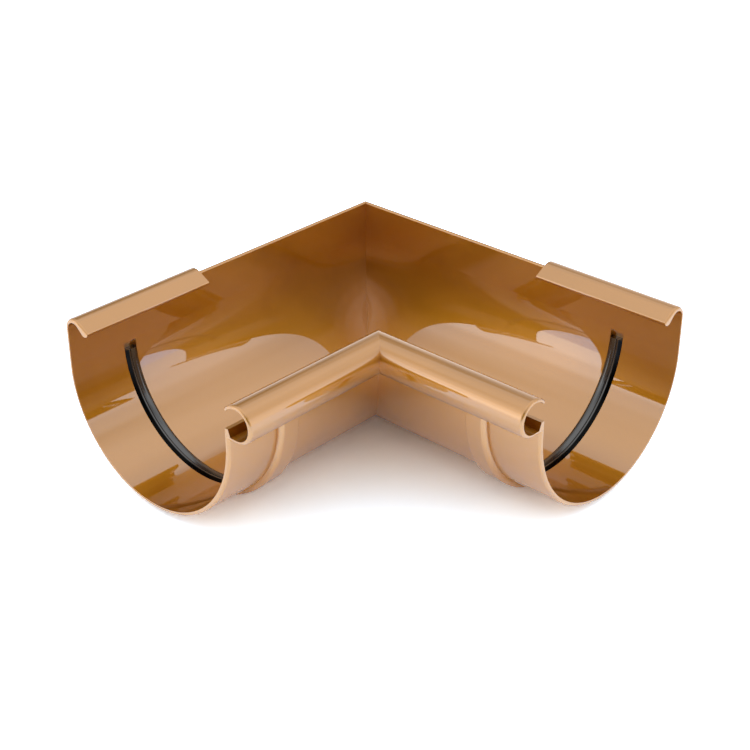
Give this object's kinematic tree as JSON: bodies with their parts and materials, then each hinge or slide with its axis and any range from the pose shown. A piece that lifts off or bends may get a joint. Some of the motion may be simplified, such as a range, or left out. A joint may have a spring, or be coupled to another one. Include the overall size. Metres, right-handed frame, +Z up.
{
  "type": "gutter angle",
  "caption": "Internal right-angle corner for a half-round gutter, with a rolled front bead, rear retaining hooks and a rubber-sealed socket on each arm.",
  "frame": {"origin": "middle of the bounding box in plan, on the floor under the lowest points of the seal channels", "axes": "+Z up; one arm runs along -X and the other along -Y, and the plain back walls meet at the +X +Y corner"},
  "size_m": [0.2488, 0.2488, 0.1006],
  "materials": {
    "body": "glossy copper-coloured plastic",
    "seal": "black ribbed rubber"
  },
  "bodies": {
    "root": {"gutter_angle": "body", "seal_left": "seal", "seal_right": "seal"}
  },
  "joints": []
}
